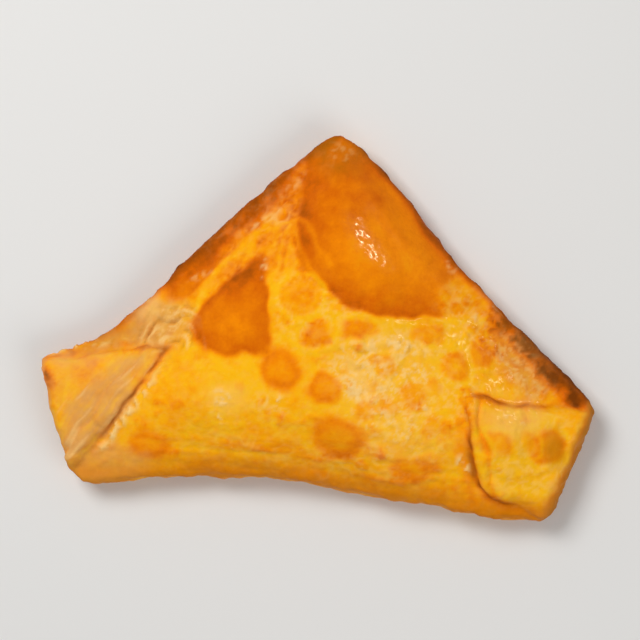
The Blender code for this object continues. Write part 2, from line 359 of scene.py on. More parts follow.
def openness(plan, x, y):
    """How far open the free edge nearest to each point stands, 0 to 1."""
    depths = np.stack([depth_from(e, x, y) for e in free_edges(plan)])
    weights = np.exp(-(depths - depths.min(axis=0)) / CORNER_SOFTNESS)
    opens = []
    for plan_edge in free_edges(plan):
        at_start, at_end = plan_edge[-1]
        opens.append(at_start + (at_end - at_start) * blend(0.15, 0.55, share_along(plan_edge, x, y)))
    even = (weights * np.stack(opens)).sum(axis=0) / weights.sum(axis=0)
    return np.clip(even * (0.85 + 0.9 * wobble(x, y, 3.1, seed=6.6)), 0, 1)


def oval(centre_x, centre_y, half_length, half_width, turn=0.0):
    """An oval outline, as a function that says how deep inside it each place is."""
    c, s = math.cos(math.radians(turn)), math.sin(math.radians(turn))

    def depth(x, y):
        x, y = x - centre_x, y - centre_y
        out = np.hypot((x * c + y * s) / half_length, (-x * s + y * c) / half_width)
        return (1 - out) * half_width

    return depth


def ovals(*rows):
    """Some ovals, each with how strong it is, from rows of the strength and the oval's numbers."""
    return [(strength, oval(*numbers)) for strength, *numbers in rows]


def corners(*points, softness=1.2):
    """A convex outline through points, counter-clockwise, as a function like that of an oval."""
    edges = [edge(start, end) for start, end in zip(points, points[1:] + points[:1])]
    return lambda x, y: softest([depth_from(e, x, y) for e in edges], softness)


# ----------------------------------------------------------------------------
# The packet and its flaps


def filling(x, y):
    """0 to 1, where and how much the filling swells the packet."""
    swollen = swell(depth_from(PACKET["long_fold"], x, y), FOLD_RISE)
    for depth in depths_from(LEGS, x, y):
        swollen = swollen * swell(depth - SEAL_WIDTH, LEG_RISE)
    for depth in depths_from(ENDS, x, y):
        swollen = swollen * swell(depth, END_RISE)
    return swollen


def edge_half(x, y):
    """Half the packet's thickness as its edges alone would have it."""
    near_end, near_leg = np.minimum(*depths_from(ENDS, x, y)), np.minimum(*depths_from(LEGS, x, y))
    near_tip, *near_folds = depths_from(("tip", "left_heel", "long_fold"), x, y)
    ends = round_edge(near_end, END_HALF) + (FOLD_HALF - END_HALF) * blend(0, END_RISE, near_end)
    seals = round_edge(np.minimum(near_leg, near_tip), SEAL_HALF)
    seals = seals + (FOLD_HALF - SEAL_HALF) * blend(0, 3 * SEAL_WIDTH, near_leg)
    return np.minimum.reduce([ends, seals, round_edge(np.minimum(*near_folds), FOLD_HALF)])


def middle_height(x, y):
    """The height of the packet's edge line, where its upper and lower sheets meet."""
    up_the_packet = blend(LEFT_FOOT[1], TIP_LEFT[1], y)
    level = FOLD_HEIGHT + (SEAL_HEIGHT - FOLD_HEIGHT) * up_the_packet
    return level + WAVE_HEIGHT * wobble(x, y, WAVE_LENGTH / 2)


def packet_top(x, y):
    crown = CROWN_HEIGHT - SEAL_HEIGHT - FOLD_HALF
    return middle_height(x, y) + edge_half(x, y) + crown * filling(x, y)


def packet_underside(x, y):
    """It hangs below the edge line, and lies flat where it meets the surface."""
    hanging = middle_height(x, y) - edge_half(x, y) - BELLY_DEPTH * filling(x, y) ** BELLY_SHARPNESS
    return np.maximum(hanging, 0)


def flap_shape(plan, crack):
    """The top and the underside of a corner flap, as functions of the place.

    Where a free edge stands open, it is a crack off the packet. Elsewhere it slopes down and melts into it.
    """
    roll = END_HALF + FLAP_THICKNESS / 2

    def rolled_edge(x, y):
        """The height of the middle of the stack at the fold: the packet's end with the flap on it."""
        return middle_height(x, y) + FLAP_THICKNESS / 2

    def top(x, y):
        free, fold = free_depth(plan, x, y), depth_from(plan["fold"], x, y)
        opened = openness(plan, x, y)
        thinned = FLAP_THICKNESS * FLAP_THINNED * opened * (1 - blend(0, FLAP_THINS_OVER, free))
        lifted = crack * opened * (1 - blend(0, 2 * FLAP_CRACK_DEPTH, free))
        drop = FLAP_THICKNESS + (FLAP_EDGE_ROUND - FLAP_THICKNESS) * opened
        slope = FLAP_SLOPE + (FLAP_EDGE_ROUND - FLAP_SLOPE) * opened
        edge_drop = drop * (1 - round_edge(free, slope) / slope) + thinned
        lying = packet_top(x, y) + FLAP_THICKNESS + lifted - edge_drop
        rolled = rolled_edge(x, y) + round_edge(fold, roll) - edge_drop
        return rolled + (lying - rolled) * blend(0, FOLD_TURN, fold)

    def underside(x, y):
        free, fold = free_depth(plan, x, y), depth_from(plan["fold"], x, y)
        opened = openness(plan, x, y) * (1 - blend(0.5 * FLAP_CRACK_DEPTH, FLAP_CRACK_DEPTH, free))
        lying = packet_top(x, y) + crack * opened - FLAP_SINK * (1 - opened)
        rolled = rolled_edge(x, y) - round_edge(fold, roll)
        level = rolled + (lying - rolled) * blend(0.5 * FOLD_TURN, 1.5 * FOLD_TURN, fold)
        return np.minimum(level, top(x, y))

    return top, underside


def vectors(items, name):
    """One vector of each item of a mesh, as rows."""
    found = np.empty(len(items) * 3, np.float32)
    items.foreach_get(name, found)
    return found.reshape(-1, 3).astype(float)


def set_points(mesh, points):
    """Gives a mesh its points, from millimetres."""
    mesh.vertices.foreach_set("co", (points * MM).astype(np.float32).ravel())
    mesh.update()


def select_only(*pieces):
    """Selects just these pieces, the first of them as the active one."""
    bpy.ops.object.select_all(action="DESELECT")
    for piece in pieces:
        piece.select_set(True)
    bpy.context.view_layer.objects.active = pieces[0] if pieces else None


def reach(plan, centre, angles):
    """How far the plan's outline is from its centre in each direction, by halving."""
    near, far = np.zeros_like(angles), np.full_like(angles, OUTSIDE)
    for _ in range(HALVINGS):
        middle = (near + far) / 2
        inside = depth_in(plan, centre[0] + middle * np.cos(angles), centre[1] + middle * np.sin(angles)) > 0
        near, far = np.where(inside, middle, near), np.where(inside, far, middle)
    return near


def apply_modifier(piece, kind, **settings):
    """Adds one modifier to the piece, gives it its settings and applies it."""
    select_only(piece)
    bpy.ops.object.modifier_add(type=kind)
    modifier = piece.modifiers[-1]
    for name, value in settings.items():
        setattr(modifier, name, value)
    bpy.ops.object.modifier_apply(modifier=modifier.name)


def stray(x, y):
    return strayed(x, y, PACKET_STRAYS, seed=11.3)


def flap_stray(x, y):
    """A flap's edges stray further than the outline, but not along its fold, where it is the outline."""
    off_fold = blend(1.5, 7, np.minimum(*depths_from(ENDS, x, y)))
    away_x, away_y = strayed(x, y, FLAP_STRAYS, seed=31.7)
    return away_x * off_fold, away_y * off_fold


def pressed_sphere(name, plan, top, underside, more_stray=None):
    """A closed skin: a sphere pressed into a plan, with its upper and lower halves laid on two heights."""
    select_only()
    bpy.ops.mesh.primitive_uv_sphere_add(segments=AROUND, ring_count=FROM_TOP_TO_UNDERSIDE, radius=1.0)
    skin = bpy.context.active_object
    skin.name = name
    apply_modifier(skin, "SUBSURF", levels=FINER, render_levels=FINER)
    sphere = vectors(skin.data.vertices, "co")
    centre = np.array([e[0] for e in plan.values()]).mean(axis=0)
    share = np.minimum(np.hypot(sphere[:, 0], sphere[:, 1]), 1)
    angles = np.arctan2(sphere[:, 1], sphere[:, 0])
    out = share * reach(plan, centre, angles)
    x, y = centre[0] + out * np.cos(angles), centre[1] + out * np.sin(angles)
    high, low = top(x, y), underside(x, y)
    z = np.where(sphere[:, 2] > 0, high, low)
    z = np.where(np.abs(sphere[:, 2]) < ON_RIM, (high + low) / 2, z)
    for strays in filter(None, (more_stray, stray)):
        away_x, away_y = strays(x, y)
        x, y = x + away_x, y + away_y
    set_points(skin.data, np.stack([x, y, z], axis=1))
    return skin


def fuse(skins, name, voxel):
    """One closed skin round some skins that overlap."""
    select_only(*skins)
    bpy.ops.object.join()
    fused = bpy.context.active_object
    fused.name = name
    apply_modifier(fused, "REMESH", mode="VOXEL", voxel_size=voxel)
    apply_modifier(fused, "SMOOTH", factor=0.5, iterations=SMOOTH_PASSES)
    return fused


# ----------------------------------------------------------------------------
# Where the crust blistered, and where it is wrinkled, pale or matt

# One blister: its outline, its height, how far in from its rim it is that high, how sharp its rim is from 0
# to 1, how done its skin is, and how plain the ring of yellow dough round it is.
Blister = namedtuple("Blister", "depth height crest sharp done ring")


def blisters(*rows):
    """Some blisters, from rows of an outline, or of an oval's numbers, and of the rest of each blister."""
    return [Blister(shape if callable(shape) else oval(*shape), *rest) for shape, *rest in rows]


BIG_BLISTER = corners(
    (1.2, 4.4), (6.5, 2.2), (13.5, 1.3), (19.5, 1.5), (24.5, 3.0),
    (29.0, 8.0), (9.0, 36.0), (-3.0, 34.0), (-5.4, 20.5), (-4.4, 11.4),
)
CORNER_BLISTER = corners(
    (-5.8, -5.4), (-7.0, 3.0), (-8.8, 12.8), (-12.2, 10.4), (-21.6, 0.2), (-21.0, -4.6), (-18.3, -6.2),
    softness=0.8,
)
TOP_BLISTERS = blisters(
    (BIG_BLISTER, 2.8, 9.0, 0.8, 0.64, 0.0),
    (CORNER_BLISTER, 0.9, 7.0, 0.7, 0.66, 0.0),
    ((-21.6, 7.0, 6.0, 3.2, 42), 0.7, 3.0, 0.2, 0.56, 0.0),
    ((-2.6, 4.6, 3.7, 3.4), 0.16, 2.0, 0.6, 0.32, 0.8),
    ((-2.6, 4.6, 1.9, 1.8), 0.14, 1.6, 0.4, 0.54, 0.0),
    ((0.8, -1.3, 3.1, 2.2, 18), 0.24, 1.8, 0.6, 0.60, 0.8),
    ((7.0, 0.3, 3.2, 1.8, 4), 0.24, 1.8, 0.6, 0.58, 0.8),
    ((-5.1, -7.5, 3.6, 3.5, 80), 0.18, 2.8, 0.2, 0.59, 0.1),
    ((2.4, -10.1, 2.9, 2.9), 0.24, 2.2, 0.6, 0.57, 0.3),
    ((5.4, -17.9, 4.8, 3.5, -12), 0.26, 3.0, 0.2, 0.49, 0.2),
    ((23.2, -5.0, 2.7, 2.5, 20), 0.24, 1.5, 0.6, 0.60, 0.8),
    ((23.4, -4.9, 1.3, 1.2, 20), -0.12, 1.0, 0.2, 0.34, 0.0),
    ((17.0, -10.4, 2.4, 2.5), 0.18, 1.6, 0.4, 0.52, 0.5),
    ((18.6, 0.1, 2.8, 2.0), 0.18, 1.5, 0.4, 0.50, 0.5),
    ((24.2, 6.6, 3.6, 2.9, -40), 0.25, 2.2, 0.0, 0.48, 0.0),
    ((12.3, -5.5, 1.9, 1.6), 0.16, 1.4, 0.3, 0.50, 0.5),
    ((9.2, -13.5, 1.8, 1.6), 0.16, 1.3, 0.3, 0.52, 0.4),
    ((13.4, -12.2, 1.6, 1.2, 30), 0.14, 1.2, 0.3, 0.40, 0.3),
    ((20.4, -8.6, 1.7, 1.3, -20), 0.14, 1.2, 0.3, 0.40, 0.3),
    ((27.6, -2.6, 2.0, 1.5, -40), 0.16, 1.3, 0.3, 0.50, 0.3),
    ((21.0, -15.2, 2.2, 1.8, 30), 0.14, 1.4, 0.3, 0.40, 0.3),
    ((17.6, -22.3, 3.8, 1.9), 0.16, 1.6, 0.0, 0.48, 0.1),
    ((39.5, -16.9, 3.3, 3.0, 60), 0.26, 2.2, 0.6, 0.62, 0.9),
    ((36.8, -16.4, 1.5, 2.0), 0.14, 1.2, 0.3, 0.44, 0.4),
    ((31.6, -16.8, 3.2, 2.3), 0.18, 1.7, 0.3, 0.56, 0.2),
    ((-26.8, -21.6, 3.6, 2.8), 0.15, 2.2, 0.0, 0.46, 0.0),
)
UNDERSIDE_BLISTERS = blisters(
    ((-20.0, -22.0, 6.0, 3.6, 10), 0.6, 3.0, 0.5, 0.62, 0.4),
    ((24.0, -22.5, 5.0, 3.2, -12), 0.8, 2.5, 0.5, 0.62, 0.4),
    ((15.0, 14.5, 8.0, 4.2, -43), 1.0, 3.5, 0.5, 0.66, 0.4),
    ((-15.5, 12.5, 6.5, 4.0, 42), 0.9, 3.5, 0.5, 0.62, 0.4),
    ((37.0, -17.0, 4.6, 3.6, 70), 0.5, 3.0, 0.5, 0.58, 0.4),
    ((-38.0, -17.0, 4.4, 3.2, 75), 0.8, 3.0, 0.5, 0.58, 0.4),
)
# How far a blister's rim strays, over what distances, and how far in from a leg it reaches its full height.
RIM_STRAYS = ((0.7, 4.2), (0.45, 2.2))
BLISTER_RISE = 5.0
# Where the big blister's skin is crinkled and so glitters, and where it is lighter towards the right leg.
CRINKLED = oval(7.6, 14.8, 5.2, 1.5, -46)
LIGHTER_SIDE = oval(24.4, 6.6, 4.2, 5.0, -43)

# Thin webs of lighter dough between blisters: how plain each is, and the points that it runs through.
WEBS = (
    (0.85, ((-4.6, 17.6), (-9.6, 15.0), (-14.4, 11.2), (-17.4, 7.6), (-20.5, 1.5))),
    (0.90, ((-5.3, 17.5), (-6.6, 11.0), (-8.0, 5.5), (-7.3, 0.0), (-6.3, -3.2), (-4.3, -1.0), (-1.4, 1.4),
            (3.4, 2.4))),
    (0.90, ((3.4, 2.4), (9.0, 1.8), (15.0, 1.6), (20.5, 1.8), (25.5, 3.2))),
    (0.90, ((4.2, 1.8), (4.0, -2.8), (0.8, -4.5), (-2.9, -3.2), (-4.3, -1.0))),
    (0.85, ((4.4, -2.6), (9.5, -2.8), (12.3, -1.4), (18.3, -3.0), (22.7, -1.8), (28.1, 4.0))),
    (0.65, ((-5.0, 17.3), (-4.7, 12.6), (-5.4, 8.6), (-6.2, 5.2))),
    (0.60, ((-4.8, 17.5), (-3.4, 13.2), (-1.2, 9.6), (1.2, 6.6), (1.8, 3.4))),
    (0.45, ((-4.4, 17.9), (-2.6, 16.6), (0.2, 12.9), (2.4, 9.8))),
    (0.95, ((34.6, -11.5), (34.4, -15.5), (35.2, -19.0), (38.0, -21.4), (42.6, -21.0))),
    (0.90, ((29.5, -14.6), (32.0, -19.6), (33.5, -24.0), (38.0, -21.4))),
    # A painted highlight: the lit ridge along the left flap's upper edge.
    (0.80, ((-45.0, -9.2), (-39.0, -8.7), (-33.5, -6.6))),
    (0.60, ((-41.6, -10.4), (-41.0, -13.5), (-41.6, -17.0))),
)
WEB_HALF = 0.55
# Small bubbles: their size, the width of the net between them in sizes, their height and their browning.
BUBBLES = ((4.6, 0.16, 1.0, 0.44), (2.4, 0.24, 0.6, 0.46), (1.3, 0.30, 0.28, 0.14))
NETTED_ELSEWHERE = 0.2
NETTED_PLACES = ovals(
    (1.0, 15.0, -8.5, 13.0, 9.5, -8),
    (0.8, 0.0, 3.0, 8.0, 7.0),
    (0.8, 24.0, 3.5, 8.0, 5.0, -43),
    (0.5, 37.5, -18.0, 9.0, 8.0),
    (0.7, 35.0, -4.0, 9.0, 4.0, -43),
    (0.6, -26.0, -1.0, 6.0, 4.0, 30),
    (0.5, 12.0, -19.5, 14.0, 4.0, -6),
    (0.4, -10.0, -14.0, 12.0, 4.0),
)

# How done the crust is: 0 just yellow, 0.25 golden, 0.5 orange, 0.75 amber and 1 russet. It is uneven by so
# much, over these distances, and more or less done in these places.
# Done also carries painted shade: darker along the outline, in the cracks and above the left flap.
GROUND_DONE = 0.24
UNDERSIDE_DONE = 0.10
UNEVEN_DONE = ((0.08, 10), (0.11, 3.4), (0.08, 1.4))
DONE_PLACES = ovals(
    (0.18, 0.0, 23.5, 9.5, 11.0),
    (0.24, -7.0, 20.5, 8.0, 3.6, 40),
    (0.26, -19.0, 9.8, 8.5, 4.4, 42),
    (0.26, -6.0, 14.5, 6.5, 6.0),
    (0.34, -12.2, 5.6, 3.0, 3.6, -10),
    (0.15, -16.5, 9.0, 6.4, 2.4, 55),
    (0.14, -7.0, 12.0, 2.4, 4.6),
    (0.28, 26.2, -10.8, 1.4, 2.2),
    (0.22, 33.0, -28.4, 5.0, 1.2, -12),
    (-0.14, -15.5, -9.5, 9.0, 4.6, -5),
    (0.52, 31.0, 1.5, 15.0, 4.6, -43),
    (0.16, 0.5, 2.0, 9.0, 5.6),
    (0.06, 24.3, -20.0, 2.4, 8.0, 3),
    (0.10, -27.0, -21.5, 5.5, 4.4),
    (0.13, -21.0, -12.0, 5.0, 5.0),
    # Painted shadow along the leg strip above the left flap's upper edge.
    (0.48, -34.5, -5.0, 6.0, 1.8, 24),
    (0.08, -40.0, -13.0, 5.0, 5.0),
    (0.28, 1.5, 29.0, 5.0, 4.0),
    (0.08, -6.0, -19.5, 13.0, 2.6, -4),
    (0.06, 17.0, -23.5, 14.0, 2.4, -6),
    (-0.20, 35.5, -21.0, 7.5, 7.0, -15),
    (0.40, -45.2, -12.4, 1.4, 4.0, 18),
    (0.20, -38.4, -11.0, 1.6, 2.0),
    (-0.08, -41.0, -7.6, 5.5, 1.2, 12),
)
# Where the crust is thrown into fine wrinkles, how strongly.
WRINKLED_PLACES = ovals(
    (0.6, -8.3, 17.9, 4.6, 1.8, 42),
    (0.8, 11.5, -7.0, 8.5, 5.5, -12),
    (0.6, 15.0, -16.5, 8.0, 4.5, -10),
    (0.9, 14.6, -2.0, 3.4, 1.6, -10),
    (0.8, -14.6, -13.2, 2.6, 2.2),
    (0.7, -6.2, -13.6, 2.4, 1.8),
    (0.8, -25.5, -1.5, 5.5, 3.6, 25),
    (0.7, 34.5, -4.0, 7.0, 3.2, -43),
    (0.8, 1.5, 29.0, 4.0, 3.4),
    (0.5, 24.6, 6.4, 3.0, 2.0, -43),
    (0.3, 38.0, -18.5, 8.0, 9.0),
    (0.25, -2.0, -22.5, 26.0, 3.0, -3),
)
# Where the dough stays paler or is painted pale as a highlight, and where it is matt and tan, how strongly.
PALE_AND_GLINT_PLACES = ovals(
    (0.10, 12.0, -7.5, 9.5, 6.5, -10),
    (0.10, 14.5, -16.5, 9.0, 5.0, -10),
    # Painted highlights where flakes catch the light.
    (0.42, 8.2, -8.8, 1.4, 5.0, 28),
    (0.45, 14.2, -2.1, 3.6, 0.9, -12),
    (0.25, -14.0, -13.0, 3.6, 2.2),
    (0.30, 34.0, -13.0, 5.0, 3.0),
    # A painted highlight on the ripples beside the left flap's tip.
    (0.40, -28.6, 0.4, 1.5, 3.2, -20),
    # A painted highlight: the lit ridge along the left flap's upper edge.
    (0.34, -40.5, -8.7, 5.0, 0.8, 6),
)
TAN_PLACES = ovals(
    (0.60, -35.5, -27.0, 8.5, 4.6, 8),
    (0.85, -35.2, -16.2, 10.5, 3.9, 57),
    (0.45, -29.6, -10.4, 6.5, 2.0, 50),
    (0.75, -27.0, -1.8, 6.0, 4.0, 30),
    # Painted shadow along the leg strip above the left flap's upper edge.
    (0.60, -34.6, -4.8, 5.0, 1.4, 24),
    (0.25, -40.0, -13.0, 4.5, 5.0),
    (0.45, 35.0, -3.6, 5.5, 3.0, -43),
    (0.20, 43.5, -25.0, 2.0, 4.0, -12),
)
# Where it is toasted to an olive brown or darkened as painted shade, how strongly.
TOAST_AND_SHADE_PLACES = ovals(
    (0.80, 41.0, -17.2, 1.7, 3.0, 12),
    (0.15, 5.6, -18.2, 3.6, 2.6, -12),
    (0.35, 1.5, 29.0, 4.5, 4.0),
    # Painted shadow along the leg strip above the left flap's upper edge.
    (0.50, -35.0, -4.4, 6.0, 1.5, 24),
    (0.25, 30.0, 1.5, 9.0, 2.6, -43),
    (0.25, 36.0, -4.6, 7.0, 3.0, -43),
)
# Pale crumbs and flakes that stick out of the crust, their paleness partly painted highlight.
CRUMBS_AND_GLINTS = ovals(
    (1.0, 6.8, -9.8, 2.6, 1.5, -38),
    (0.9, 14.4, -2.2, 3.6, 0.9, -12),
    (0.7, 10.6, -6.4, 2.8, 0.9, 24),
    (0.9, -14.6, -12.8, 1.5, 1.3),
    (0.8, -6.0, -12.6, 1.9, 1.0, 10),
    (0.7, -14.8, -16.2, 1.4, 1.0),
    (0.7, 12.0, -13.4, 2.4, 1.1, -30),
    (0.7, 18.6, -12.8, 2.2, 1.2, 35),
    (0.6, 16.0, -17.2, 3.0, 1.0, -10),
    (0.6, -10.2, 17.2, 3.2, 0.5, 34),
    (0.5, -9.4, 8.8, 0.6, 1.7, -5),
    (0.35, -20.2, 7.2, 1.8, 0.5, 15),
    (0.8, 26.4, -21.2, 1.0, 1.7, 18),
    (0.35, -6.0, 23.2, 2.2, 0.6, 46),
    (0.4, 21.8, 11.6, 1.4, 0.6, -43),
    (0.8, 27.0, 4.2, 2.4, 0.6, 46),
    (0.6, 34.0, -12.4, 2.6, 0.9, -10),
    (0.25, 2.0, 29.4, 2.6, 1.6),
)
# How wide the rolls along the flaps' inner edges are.
LEFT_ROLL = 3.4
RIGHT_ROLL = 2.2
# The ripples that run round the left flap's tip.
RIPPLE_MIDDLE = (-23.6, -5.2)
RIPPLE_SPACING = 2.0
# Some of these masks carry painted shade and painted highlights as well as the dough's own colours.
MASKS = ("done", "tan", "pale_and_glint", "toast_and_shade", "gloss", "wrinkled", "crease_shade_and_seam")


class Crust:
    """The points of the fused skin, how far each is to be raised, and its masks, such as how done it is."""

    def __init__(self, mesh, form):
        self.points = vectors(mesh.vertices, "co") / MM
        self.facing = vectors(mesh.vertex_normals, "vector")
        away_x, away_y = stray(*self.points.T[:2])
        self.x, self.y, self.z = self.points[:, 0] - away_x, self.points[:, 1] - away_y, self.points[:, 2]
        self.above = blend(0.1, 0.5, self.facing[:, 2])
        self.below = blend(0.1, 0.5, -self.facing[:, 2])
        self.off_surface = blend(0.3, 2.5, self.z)
        self.leg = softest(depths_from(LEGS, self.x, self.y))
        self.bubble_height, self.wrinkle_height = form.bubble_height / MM, form.wrinkle_height / MM
        self.seed = form.seed
        # Points go up by lift and outwards by push, and a crust that a large blister covers has few bubbles.
        self.lift = np.zeros(len(self.points))
        self.push = np.zeros(len(self.points))
        self.covered = np.zeros(len(self.points))
        self.masks = {name: np.zeros(len(self.points)) for name in MASKS}

    def mark(self, name, amount):
        """Raises one mask to this amount where it is lower."""
        self.masks[name] = np.maximum(self.masks[name], amount)

    def cook(self, target, share):
        """Brings how done the crust is to the target, by this share of the way."""
        self.masks["done"] += (target - self.masks["done"]) * share

    def lumps(self, size, seed, octaves=2):
        """Smooth noise at each point of the crust."""
        return lumps(self.points, size, seed, octaves)

    def places(self, places, soft=1.6, ragged=0.0):
        """How strongly each point is in any of some places."""
        inside = [strength * blend(-soft, soft, depth(self.x, self.y) + ragged) for strength, depth in places]
        return np.max(inside, axis=0) * self.above


def lay_ground(crust):
    """The crust as it is between blisters: unevenly golden, paler and more wrinkled in places."""
    done = GROUND_DONE + UNDERSIDE_DONE * crust.below
    for i, (amount, size) in enumerate(UNEVEN_DONE):
        done = done + amount * crust.lumps(size, 3.1 + i, octaves=3)
    ragged = 1.1 * crust.lumps(3.2, 7.7, octaves=3)
    for amount, depth in DONE_PLACES:
        done = done + amount * blend(-2.2, 2.2, depth(crust.x, crust.y) + ragged) * crust.above
    crust.masks["done"] = done
    crust.masks["gloss"] = 0.22 + 0.3 * crust.lumps(5, 1.9)
    for name, places in (("wrinkled", WRINKLED_PLACES), ("pale_and_glint", PALE_AND_GLINT_PLACES), ("tan", TAN_PLACES)):
        crust.mark(name, crust.places(places, ragged=ragged))


def lay_blisters(crust):
    """The blisters, many of them ringed with lighter dough, and the webs between them."""
    x, y = crust.x, crust.y
    away_x, away_y = strayed(x, y, RIM_STRAYS, seed=3.3)
    wander_x, wander_y = x + away_x, y + away_y
    off_leg = blend(0, BLISTER_RISE, crust.leg)
    blotches = crust.lumps(2.6, 14.2)
    underside = (UNDERSIDE_BLISTERS, crust.below, -crust.off_surface)
    for group, side, way in ((TOP_BLISTERS, crust.above, 1), underside):
        heights = np.zeros(len(x))
        for blister in group:
            depth = blister.depth(wander_x, wander_y)
            risen = np.clip(depth / blister.crest, 0, 1)
            risen = blister.sharp * (1 - (1 - risen) ** 2) + (1 - blister.sharp) * blend(0, 1, risen)
            soft = 2.2 - blister.sharp
            inside = blend(-0.4 * soft, 0.6 * soft, depth) * side
            crust.cook(0.05, blister.ring * ridge(depth, -0.5, 0.5) * side)
            # Browner rim, lighter crest: partly the skin's own colour, partly painted shade on the flanks.
            browned = blister.done + 0.28 * (0.5 - risen) * blend(23, 13, y) + 0.08 * blotches
            crust.cook(browned + 0.3 * (crust.masks["done"] - GROUND_DONE), inside)
            crust.masks["pale_and_glint"] *= 1 - 0.8 * inside
            crust.covered = np.maximum(crust.covered, inside * min(0.55 + blister.crest / 9, 1))
            crust.masks["gloss"] *= 1 - 0.97 * inside
            heights = np.where(inside > 0, np.maximum(heights, blister.height * risen), heights)
        crust.lift += way * heights * side * off_leg
    lighter = blend(-1.4, 1.6, LIGHTER_SIDE(wander_x, wander_y)) * crust.above
    crust.cook(0.47 + 0.16 * blotches, 0.85 * lighter)
    crust.covered *= 1 - 0.6 * lighter
    webs = [plain * ridge(off_line(line, wander_x, wander_y), 0, WEB_HALF) for plain, line in WEBS]
    web = np.max(webs, axis=0) * np.clip(0.85 + 0.5 * blotches, 0, 1) * crust.above
    crust.push += 0.18 * web
    crust.cook(0.08 + 0.22 * blend(3, 14, y), web)
    crust.mark("toast_and_shade", crust.places(TOAST_AND_SHADE_PLACES, soft=2.2))
    crinkled = blend(-0.8, 0.8, CRINKLED(x, y)) * crust.above
    crust.push += 0.10 * crust.lumps(1.1, 17.3) * crinkled
    crust.mark("gloss", crinkled)


def off_line(points, x, y):
    """How far each place is from the line through some points."""
    nearest = np.full(len(x), np.inf)
    for (ax, ay), (bx, by) in zip(points, points[1:]):
        along = np.array((bx - ax, by - ay))
        out_x, out_y = x - ax, y - ay
        share = np.clip((out_x * along[0] + out_y * along[1]) / np.dot(along, along), 0, 1)
        nearest = np.minimum(nearest, np.hypot(out_x - share * along[0], out_y - share * along[1]))
    return nearest


def lay_bubbles(crust):
    """The small bubbles that cover fried dough, some browner than others, in a net of thin lighter ridges."""
    height, seed = crust.bubble_height, crust.seed
    bare = 1 - 0.97 * crust.covered
    netted = np.maximum(NETTED_ELSEWHERE, crust.places(NETTED_PLACES, soft=3)) * bare
    for size, thin, raised, browned in BUBBLES:
        inside, own = cells(crust.points, size, seed)
        seed += 3
        net = blend(thin, 0.3 * thin, inside) * netted
        bubble = blend(0.5 * thin, 0.6, inside) * blend(0.35, 0.9, own)
        crust.push += height * raised * (bubble - 0.25 * net) * (0.4 + 0.6 * netted) * bare
        crust.masks["done"] += browned * (bubble - 0.25) * (0.3 + 0.7 * netted) * bare
        crust.cook(0.12, 0.5 * net)
        # Pale specks on the net, partly painted glints on the bubbles' rims.
        crumbs_and_glints = blend(0.0, 0.45, crust.lumps(1.3, 2.6 + seed))
        crust.mark("pale_and_glint", net * crumbs_and_glints * (0.35 + 0.65 * crust.masks["wrinkled"]))


def lay_wrinkles(crust):
    """Dents, winding ridges, crumbs, streaks along the long fold, and ripples round the left flap's tip."""
    height = crust.wrinkle_height
    x, y = crust.x, crust.y
    bare = 1 - 0.9 * crust.covered
    wrinkled = crust.masks["wrinkled"] * bare
    crust.push += 1.1 * height * crust.lumps(11, 4.4) * (1 - 0.5 * crust.covered)
    crust.push += height * (0.25 + 0.5 * wrinkled) * crust.lumps(1.5, 2.2) * bare
    winding = threads(crust.points, 3.0, seed=5.8) * blend(-0.2, 0.5, crust.lumps(4, 9.4, octaves=3))
    crust.push += 0.75 * height * winding * wrinkled
    # Painted highlight: the winding ridges are painted pale and made less done.
    crust.mark("pale_and_glint", 0.85 * winding * wrinkled)
    # Crumbs stand out and shine, and their pale colour is partly painted highlight.
    crumbs_and_glints = blend(-0.05, 0.4, crust.lumps(1.3, 23.5))
    crumbs_and_glints = crumbs_and_glints * crust.places(CRUMBS_AND_GLINTS, soft=0.8)
    crust.push += 0.9 * height * crumbs_and_glints
    crust.mark("pale_and_glint", 1.3 * crumbs_and_glints)
    crust.mark("gloss", 0.7 * crumbs_and_glints)
    crust.masks["done"] -= 0.12 * winding * bare * crust.above
    along_fold = np.stack([x / 6, y, crust.z], axis=1)
    belt = blend(11, 4, depth_from(PACKET["long_fold"], x, y))
    streaks = lumps(along_fold, 1.9, seed=6.1, octaves=2)
    crust.push += 0.8 * height * streaks * belt
    crust.masks["done"] += (0.22 * streaks + 0.08) * belt
    from_tip = np.hypot(x - RIPPLE_MIDDLE[0], y - RIPPLE_MIDDLE[1]) + 1.5 * wobble(x, y, 3.4, seed=5.5)
    rippled = blend(8.5, 5.5, from_tip) * blend(-6.2, -4.2, y) * bare * crust.above
    rippled = rippled * blend(0.3, -0.6, depth_in(LEFT_FLAP, x, y))
    rippled = rippled * blend(-0.45, 0.2, crust.lumps(2.2, 21.1))
    ripples = np.cos(from_tip * math.tau / RIPPLE_SPACING)
    crust.push += 0.9 * height * ripples * rippled
    # Painted highlight on the ripples' crests and painted shade in their troughs.
    crust.mark("pale_and_glint", 0.7 * blend(0.2, 0.9, ripples) * rippled)
    crust.mark("crease_shade_and_seam", 0.38 * blend(-0.3, -0.95, ripples) * rippled)


